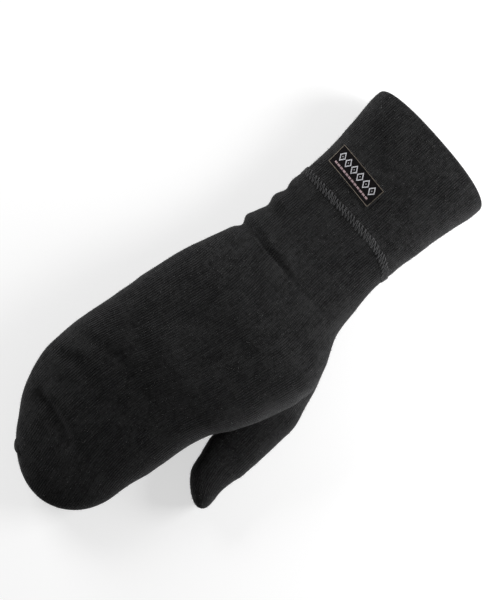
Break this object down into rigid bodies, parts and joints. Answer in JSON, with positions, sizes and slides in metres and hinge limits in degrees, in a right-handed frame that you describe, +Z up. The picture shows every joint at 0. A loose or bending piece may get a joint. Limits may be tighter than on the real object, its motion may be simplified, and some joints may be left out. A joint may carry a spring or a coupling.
{
  "type": "mitten",
  "caption": "Soft knitted mitten for the right hand with a long doubled cuff, a tubular thumb, a flat stitched wrist seam and a small woven patch, filled out and lying palm down.",
  "frame": {"origin": "on the surface the mitten lies on, under the middle of its bounding box", "axes": "+Y towards the fingertips, +X towards the little finger's side, the thumb on the -X side, +Z up from the palm to the back of the hand"},
  "size_m": [0.1362, 0.32, 0.0401],
  "materials": {
    "knit": "matt black fine wool stocking-stitch knit with a little fuzz",
    "cuff_knit": "matt black fine wool knit, doubled and folded at the rim",
    "seam_thread": "flat overlocked stitching in charcoal thread",
    "label_weave": "black woven satin patch with a thin pale border and a plain motif",
    "tip_thread": "matt black seam end in knitting yarn"
  },
  "bodies": {
    "root": {"hand": "knit", "thumb": "knit", "cuff": "cuff_knit", "wrist_seam": "seam_thread", "label": "label_weave", "tip_seam": "tip_thread"}
  },
  "joints": []
}
